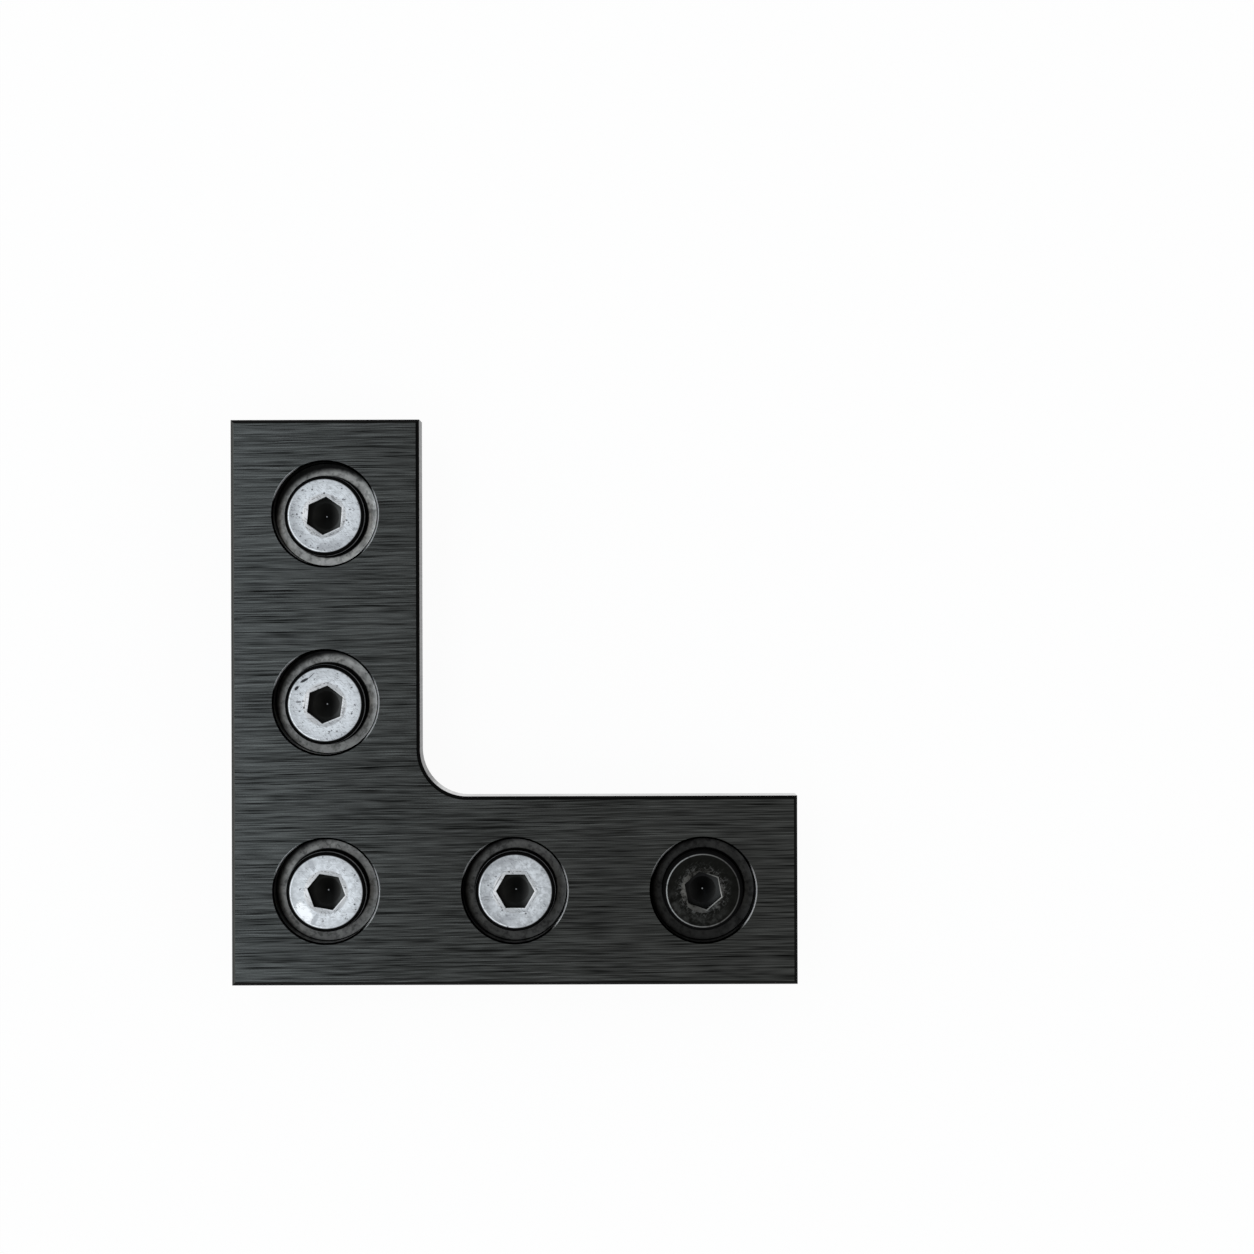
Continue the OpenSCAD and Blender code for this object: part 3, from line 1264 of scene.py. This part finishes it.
@dataclass
class JoiningPlate:
    """The plate: two equal legs, a rounded inside corner and counterbored holes."""

    low: Vector
    high: Vector
    places: Sequence[Vector]
    leg_width: float = 20
    inner_radius: float = 5
    hole_radius: float = 2.75
    bore_radius: float = 5.5
    bore_depth: float = 2.5
    edge_bevel: float = 0.36
    rim_bevel: float = 0.2
    floor_round: float = 0.1
    overrun: float = 1
    sides: int = 144
    inner_steps: int = 32
    edge_steps: int = 2
    edge_profile: float = 0.3
    floor_steps: int = 4
    crease: float = 20
    piece: Optional[bpy.types.Object] = None

    @property
    def seat(self) -> float:
        """Height of the counterbores' floors."""
        return self.high.z - self.bore_depth

    def blank(self) -> bpy.types.Object:
        """Model the plate without its holes.

        Returns:
            The closed blank.
        """
        inner = Vector((self.low.x + self.leg_width, self.low.y + self.leg_width, 0))
        size = Vector((self.high.x - self.low.x, self.leg_width, self.high.z - self.low.z))
        Bench.clear()
        bpy.ops.mesh.primitive_cube_add(size=1, location=self.low + size / 2)
        bpy.context.object.scale = size
        piece = Bench.settle("l_plate_body")
        Bench.pick(piece, Grip.FACE, lambda centre, normal: True)
        bpy.ops.mesh.bisect(plane_co=inner, plane_no=(1, 0, 0))
        Bench.pick(piece, Grip.FACE, lambda centre, normal: normal.y > 0.9 and centre.x < inner.x)
        reach = (0, self.high.y - inner.y, 0)
        bpy.ops.mesh.extrude_region_move(TRANSFORM_OT_translate={"value": reach})
        bpy.ops.mesh.select_all(action="SELECT")
        bpy.ops.mesh.dissolve_limited(angle_limit=math.radians(1))
        bpy.ops.object.mode_set(mode="OBJECT")

        def inside(first: Vector, second: Vector) -> bool:
            """Whether an edge is the upright one in the inside corner."""
            return max((place.xy - inner.xy).length for place in (first, second)) < Bench.WELD

        def outline(first: Vector, second: Vector) -> bool:
            """Whether an edge bounds the front or the back."""
            return abs(first.z - second.z) < Bench.WELD

        Bench.bevel(piece, self.inner_radius, self.inner_steps, Bench.ROUND, inside)
        Bench.bevel(piece, self.edge_bevel, self.edge_steps, self.edge_profile, outline)
        return piece

    def drill(self) -> bpy.types.Object:
        """Model the tool that leaves a clearance hole, a counterbore and its bevelled rim.

        Returns:
            The closed tool, on the Z axis.
        """
        rim = self.rim_bevel
        section: Section = [
            (self.hole_radius, self.low.z - self.overrun),
            (self.hole_radius, self.seat),
        ]
        corner = (self.bore_radius - self.floor_round, self.seat + self.floor_round)
        section += arc(corner, self.floor_round, -90, 0, self.floor_steps)
        section.append((self.bore_radius, self.high.z - rim))
        section.append((self.bore_radius + rim, self.high.z))
        section.append((self.bore_radius + rim, self.high.z + self.overrun))
        return Bench.turned("drill", section, self.sides)

    def build(self) -> None:
        """Model the plate and keep it as the piece."""
        piece = self.blank()
        drill = self.drill()
        for place in self.places:
            tool = Bench.copy(drill, "drill_copy", Matrix.Translation((place.x, place.y, 0)))
            Bench.combine(piece, tool, Joinery.CUT)
        bpy.data.objects.remove(drill, do_unlink=True)
        Bench.finish(piece, self.crease)
        self.piece = piece

    def dress(self, finish: BrushedAnodised) -> None:
        """Give the plate its finish and its place in the frame."""
        self.piece.data.materials.clear()
        self.piece.data.materials.append(finish.build())
        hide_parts("l_plate")
        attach(self.piece, ROOT)


@dataclass(frozen=True)
class SocketScrew:
    """Low-head screw with a hexagon socket, a plain neck and a cut thread, on the Z axis."""

    seat: float
    tip: float
    crown: float
    head_radius: float = 4.25
    head_round: float = 0.5
    under_round: float = 0.15
    neck_radius: float = 2.05
    crest_radius: float = 2.5
    root_radius: float = 2.01
    pitch: float = 0.8
    tip_bevel: float = 0.6
    socket_flats: float = 3.55
    socket_depth: float = 2.0
    socket_bevel: float = 0.28
    mouth_slope: float = 30.0
    drill_radius: float = 1.4
    drill_slope: float = 31.0
    dimple_radius: float = 0.1
    runout: float = 0.1
    core_inset: float = 0.15
    core_depth: float = 0.25
    rod_top: float = 0.3
    lead_turns: float = 1.5
    overrun: float = 0.5
    sides: int = 128
    round_steps: int = 10
    thread_steps: int = 64

    def envelope(self, height: float) -> float:
        """Largest radius that the thread may have at a height."""
        from_tip = self.crest_radius - self.tip_bevel + max(height - self.tip, 0)
        from_neck = self.root_radius - self.runout + max(self.runout - height, 0)
        return min(self.crest_radius, from_tip, from_neck)

    def thread(self) -> bpy.types.Object:
        """Model the threaded rod by sweeping one turn's profile up a helix.

        Returns:
            The closed rod.
        """
        profile = [
            (self.root_radius, 0.0),
            (self.root_radius, self.pitch / 4),
            (self.crest_radius, self.pitch * 9 / 16),
            (self.crest_radius, self.pitch * 11 / 16),
            (self.root_radius, self.pitch),
        ]
        start = self.tip - self.pitch * self.lead_turns
        turns = math.ceil((self.rod_top - start) / self.pitch) + 1
        Bench.clear()
        bpy.ops.mesh.primitive_grid_add(x_subdivisions=1, y_subdivisions=len(profile) - 1, size=1)
        rod = Bench.settle("thread_rod")
        Bench.pick(rod, Grip.VERTEX, lambda place: place.x > 0)
        bpy.ops.mesh.delete(type="VERT")
        bpy.ops.object.mode_set(mode="OBJECT")
        chain = sorted(rod.data.vertices, key=lambda vertex: vertex.co.y)
        for vertex, (radius, height) in zip(chain, profile):
            vertex.co = (radius, 0, start + height)
        sweep = rod.modifiers.new(name="sweep", type="SCREW")
        sweep.axis = "Z"
        sweep.screw_offset = self.pitch
        sweep.iterations = turns
        sweep.steps = self.thread_steps
        sweep.render_steps = self.thread_steps
        bpy.ops.object.modifier_apply(modifier=sweep.name)
        Bench.pick(rod, Grip.VERTEX, lambda place: True)
        bpy.ops.mesh.remove_doubles(threshold=Bench.WELD)
        bpy.ops.object.mode_set(mode="OBJECT")
        for vertex in rod.data.vertices:
            radius = vertex.co.xy.length
            factor = min(1.0, self.envelope(vertex.co.z) / radius)
            vertex.co.x *= factor
            vertex.co.y *= factor
        for height, upward in ((self.rod_top, 1), (self.tip, -1)):
            Bench.pick(rod, Grip.VERTEX, lambda place: True)
            bpy.ops.mesh.bisect(
                plane_co=(0, 0, height), plane_no=(0, 0, upward), use_fill=True, clear_outer=True
            )
            bpy.ops.object.mode_set(mode="OBJECT")
        Bench.pick(rod, Grip.FACE, lambda centre, normal: True)
        bpy.ops.mesh.normals_make_consistent(inside=False)
        bpy.ops.object.mode_set(mode="OBJECT")
        return rod

    def head(self) -> bpy.types.Object:
        """Model the head and the neck.

        Returns:
            The closed body.
        """
        edge = self.head_radius - self.head_round
        section: Section = [
            (self.root_radius - self.core_inset, -self.core_depth),
            (self.neck_radius, 0.0),
            (self.neck_radius, self.seat),
            (self.head_radius - self.under_round, self.seat),
            (self.head_radius, self.seat + self.under_round),
        ]
        section += arc((edge, self.crown - self.head_round), self.head_round, 0, 90, self.round_steps)
        return Bench.turned("screw_body", section, self.sides)

    def socket_tools(self) -> List[bpy.types.Object]:
        """Model the hexagon, the bevel at its mouth and the drilled point at its bottom.

        Returns:
            The closed tools.
        """
        corner = self.socket_flats / 2 / math.cos(math.pi / HEXAGON_SIDES)
        mouth = corner + self.socket_bevel
        throat = self.socket_flats / 4
        slope = math.tan(math.radians(self.mouth_slope))
        floor = self.crown - self.socket_depth
        above = self.crown + self.overrun
        point = self.drill_radius * math.tan(math.radians(self.drill_slope))
        hexagon = Bench.turned("hexagon", [(corner, floor), (corner, above)], HEXAGON_SIDES)
        hexagon.data.transform(Matrix.Rotation(math.pi / HEXAGON_SIDES, 4, "Z"))
        mouth_section: Section = [
            (throat, self.crown - (mouth - throat) * slope),
            (mouth + self.overrun / slope, above),
        ]
        drill_section: Section = [
            (self.dimple_radius, floor - point),
            (self.drill_radius, floor),
            (self.drill_radius, floor + self.overrun),
        ]
        return [
            hexagon,
            Bench.turned("mouth", mouth_section, self.sides),
            Bench.turned("drill_point", drill_section, self.sides // 2),
        ]

    def build(self) -> bpy.types.Object:
        """Model the screw.

        Returns:
            The finished piece.
        """
        piece = self.head()
        Bench.combine(piece, self.thread(), Joinery.JOIN)
        for tool in self.socket_tools():
            Bench.combine(piece, tool, Joinery.CUT)
        return piece


@dataclass(frozen=True)
class Seat:
    """Where one screw sits, how it is turned, how far it is off its hole's middle and how it is worn."""

    name: str
    mount: str
    turn: float
    drift: Span
    wear: Wear
    node: str = "zinc_screws"
    slot: str = "zinc"
    finish: Callable[..., HeadFinish] = BrightZinc


@dataclass(frozen=True)
class ScrewSet:
    """All the screws of the plate, copied from one."""

    pattern: SocketScrew
    seats: Sequence[Seat]
    places: Mapping[str, Vector]
    crease: float = 25
    seed_step: float = 7.0

    def axis(self, seat: Seat) -> Span:
        """Place of a screw's axis on the plate, off the middle of its hole as it was left."""
        place = self.places[seat.mount]
        return place.x + seat.drift[0], place.y + seat.drift[1]

    def build(self) -> Dict[str, bpy.types.Object]:
        """Copy the screw into every seat.

        Returns:
            The screws by name.
        """
        model = self.pattern.build()
        screws = {}
        for seat in self.seats:
            move = Matrix.Translation((*self.axis(seat), 0))
            turn = Matrix.Rotation(math.radians(seat.turn), 4, "Z")
            screws[seat.name] = Bench.copy(model, seat.name, move @ turn)
            Bench.finish(screws[seat.name], self.crease)
        bpy.data.objects.remove(model, do_unlink=True)
        return screws

    def dress(self, screws: Mapping[str, bpy.types.Object]) -> None:
        """Give every screw its finish and its place in the frame.

        Args:
            screws: The screws by name.
        """
        for number, seat in enumerate(self.seats):
            screw = screws[seat.name]
            finish = seat.finish(
                place=self.axis(seat),
                crown=self.pattern.crown,
                height=self.pattern.crown - self.pattern.seat,
                flats=self.pattern.socket_flats,
                turn=seat.turn,
                seed=self.seed_step * number,
                wear=seat.wear,
            )
            screw.data.materials.clear()
            screw.data.materials.append(finish.build())
            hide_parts(seat.node)
            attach(screw, ROOT)


@dataclass(frozen=True)
class Softbox:
    """A rectangular lamp that faces a point, with its second side along Y."""

    name: str
    place: Tuple[float, float, float]
    size: Span
    radiance: float
    colour: Colour = (1.0, 1.0, 1.0)

    def build(self, target: Vector) -> None:
        """Hang the lamp.

        Args:
            target: Point that it faces.
        """
        lamp = bpy.data.lights.new(self.name, "AREA")
        lamp.shape = "RECTANGLE"
        lamp.size, lamp.size_y = self.size
        lamp.energy = self.radiance * math.pi * self.size[0] * self.size[1]
        lamp.color = self.colour
        holder = bpy.data.objects.new(self.name, lamp)
        back = (Vector(self.place) - target).normalized()
        first_side = Vector((0, 1, 0)).cross(back).normalized()
        turn = Matrix((first_side, back.cross(first_side), back)).transposed()
        holder.matrix_world = Matrix.Translation(self.place) @ turn.to_4x4()
        bpy.context.scene.collection.objects.link(holder)


@dataclass(frozen=True)
class Studio:
    """Floor, lamps, world and camera."""

    floor_height: float
    front_height: float
    lens_axis: Span = (32.0 * MM, 27.92 * MM)
    camera_distance: float = 307 * MM
    view_width: float = 132.9 * MM
    roll: float = -0.17
    sensor: float = 36.0
    near_clip: float = 10 * MM
    floor_size: float = 6.0
    world_level: float = 0.6
    lamp_target: Tuple[float, float, float] = (20 * MM, 20 * MM, 0.0)
    boxes: Sequence[Softbox] = (
        Softbox(
            "key_softbox",
            place=(-0.185, 0.1, 0.6),
            size=(0.2, 0.9),
            radiance=2.35,
            colour=(0.82, 0.94, 1.05),
        ),
        Softbox("left_softbox", place=(-0.7, 0.05, 0.2), size=(0.5, 0.4), radiance=1.75),
        Softbox("right_softbox", place=(0.55, -0.05, 0.45), size=(0.35, 0.5), radiance=1.5),
    )

    def lay_floor(self, paper: FloorPaper) -> None:
        """Lay the floor under the screw tips.

        Args:
            paper: Finish of the floor.
        """
        Bench.clear()
        bpy.ops.mesh.primitive_plane_add(size=self.floor_size, location=(0, 0, self.floor_height))
        floor = Bench.settle("floor")
        floor.data.materials.append(paper.build())

    def light(self) -> None:
        """Hang the lamps and set the world's level."""
        for box in self.boxes:
            box.build(Vector(self.lamp_target))
        world = bpy.data.worlds.new("studio")
        world.use_nodes = True
        background = world.node_tree.nodes["Background"]
        background.inputs["Color"].default_value = (1.0, 1.0, 1.0, 1.0)
        background.inputs["Strength"].default_value = self.world_level
        bpy.context.scene.world = world

    def aim(self) -> None:
        """Set the camera square above the plate."""
        lens = bpy.data.cameras.new("camera")
        lens.sensor_width = self.sensor
        lens.lens = self.sensor * self.camera_distance / self.view_width
        lens.clip_start = self.near_clip
        camera = bpy.data.objects.new("camera", lens)
        camera.location = (*self.lens_axis, self.front_height + self.camera_distance)
        camera.rotation_euler = (0, 0, math.radians(self.roll))
        bpy.context.scene.collection.objects.link(camera)
        bpy.context.scene.camera = camera


GREY_SMEAR = (0.3, 0.31, 0.33)
WHITE_PATCH = (0.97, 0.97, 0.97)
DARK_SCRATCH = (0.04, 0.04, 0.045)

SEATS = (
    Seat(
        name="corner_screw",
        mount="corner_thread",
        turn=50,
        drift=(0.11, 0.0),
        wear=Wear(
            tone=1.13,
            stain_angle=120,
            stain=0.2,
            pitting=0.45,
            mottle=0.6,
            marks=(
                Mark((-2.2, -2.2), (1.25, 0.58), tilt=-55, colour=WHITE_PATCH, strength=0.8, ragged=0.6),
                Mark((-1.2, -2.95), (0.6, 0.3), tilt=60, colour=GREY_SMEAR, strength=0.45, ragged=0.7),
                Mark((-1.5, 2.75), (0.75, 0.28), tilt=115, colour=GREY_SMEAR, strength=0.45, ragged=1.1),
            ),
        ),
    ),
    Seat(
        name="x_mid_screw",
        mount="x_mid_thread",
        turn=0,
        drift=(0.1, 0.02),
        wear=Wear(
            tone=0.94,
            stain_angle=170,
            stain=0.5,
            pitting=0.5,
            mottle=0.85,
            marks=(
                Mark((-0.4, -2.7), (0.9, 0.4), tilt=10, colour=GREY_SMEAR, strength=0.4, ragged=0.9),
            ),
        ),
    ),
    Seat(
        name="y_mid_screw",
        mount="y_mid_thread",
        turn=22,
        drift=(0.03, -0.19),
        wear=Wear(
            tone=1.08,
            stain_angle=150,
            stain=0.2,
            pitting=1.15,
            mottle=0.25,
            marks=(
                Mark((-1.35, 3.1), (0.55, 0.06), tilt=42, colour=DARK_SCRATCH, strength=0.7, ragged=0.6),
                Mark((-2.1, 2.6), (0.5, 0.13), tilt=28, colour=DARK_SCRATCH, ragged=0.6),
                Mark((-2.95, 1.75), (0.26, 0.15), tilt=45, colour=DARK_SCRATCH),
                Mark((-2.75, 0.3), (0.3, 0.1), tilt=0, colour=DARK_SCRATCH, strength=0.7, ragged=0.8),
            ),
        ),
    ),
    Seat(
        name="y_end_screw",
        mount="y_end_thread",
        turn=25,
        drift=(0.04, -0.23),
        wear=Wear(
            tone=1.07,
            stain_angle=235,
            stain=0.55,
            pitting=1.35,
            mottle=0.3,
            marks=(
                Mark((0.95, 1.85), (0.2, 0.35), tilt=20, colour=GREY_SMEAR, strength=0.6, ragged=0.8),
            ),
        ),
    ),
    Seat(
        name="x_end_screw",
        mount="x_end_thread",
        node="black_screw",
        slot="black_oxide",
        finish=BlackOxide,
        turn=41,
        drift=(-0.06, 0.04),
        wear=Wear(stain_angle=250, stain=0.22),
    ),
)


def main() -> None:
    """Build and dress every piece, then light and frame the scene."""
    logging.basicConfig(level=logging.INFO, format="%(name)s: %(message)s")
    places = {
        mount["name"]: Vector(mount["pos_m"]) / MM
        for mount in frame["record"]["mounts"]
        if mount["kind"] == "pin"
    }
    plate_low, plate_high = (Vector(corner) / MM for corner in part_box("l_plate"))
    screw_low, screw_high = (Vector(corner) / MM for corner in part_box("black_screw"))
    pitch = (places["x_mid_thread"] - places["corner_thread"]).x

    plate = JoiningPlate(plate_low, plate_high, list(places.values()))
    plate.build()
    plate.dress(BrushedAnodised(plate_high.z, plate.seat, pitch, plate.bore_radius))
    LOG.info("plate: %d faces", len(plate.piece.data.polygons))

    screw_set = ScrewSet(SocketScrew(plate.seat, screw_low.z, screw_high.z), SEATS, places)
    screws = screw_set.build()
    screw_set.dress(screws)
    for name, screw in screws.items():
        LOG.info("%s: %d faces", name, len(screw.data.polygons))

    studio = Studio(CAD_BOX[0][2], plate_high.z * MM)
    studio.lay_floor(FloorPaper())
    studio.light()
    studio.aim()
    bpy.context.scene.view_settings.view_transform = "Standard"
    LOG.info("studio is set")


if __name__ == "__main__":
    main()
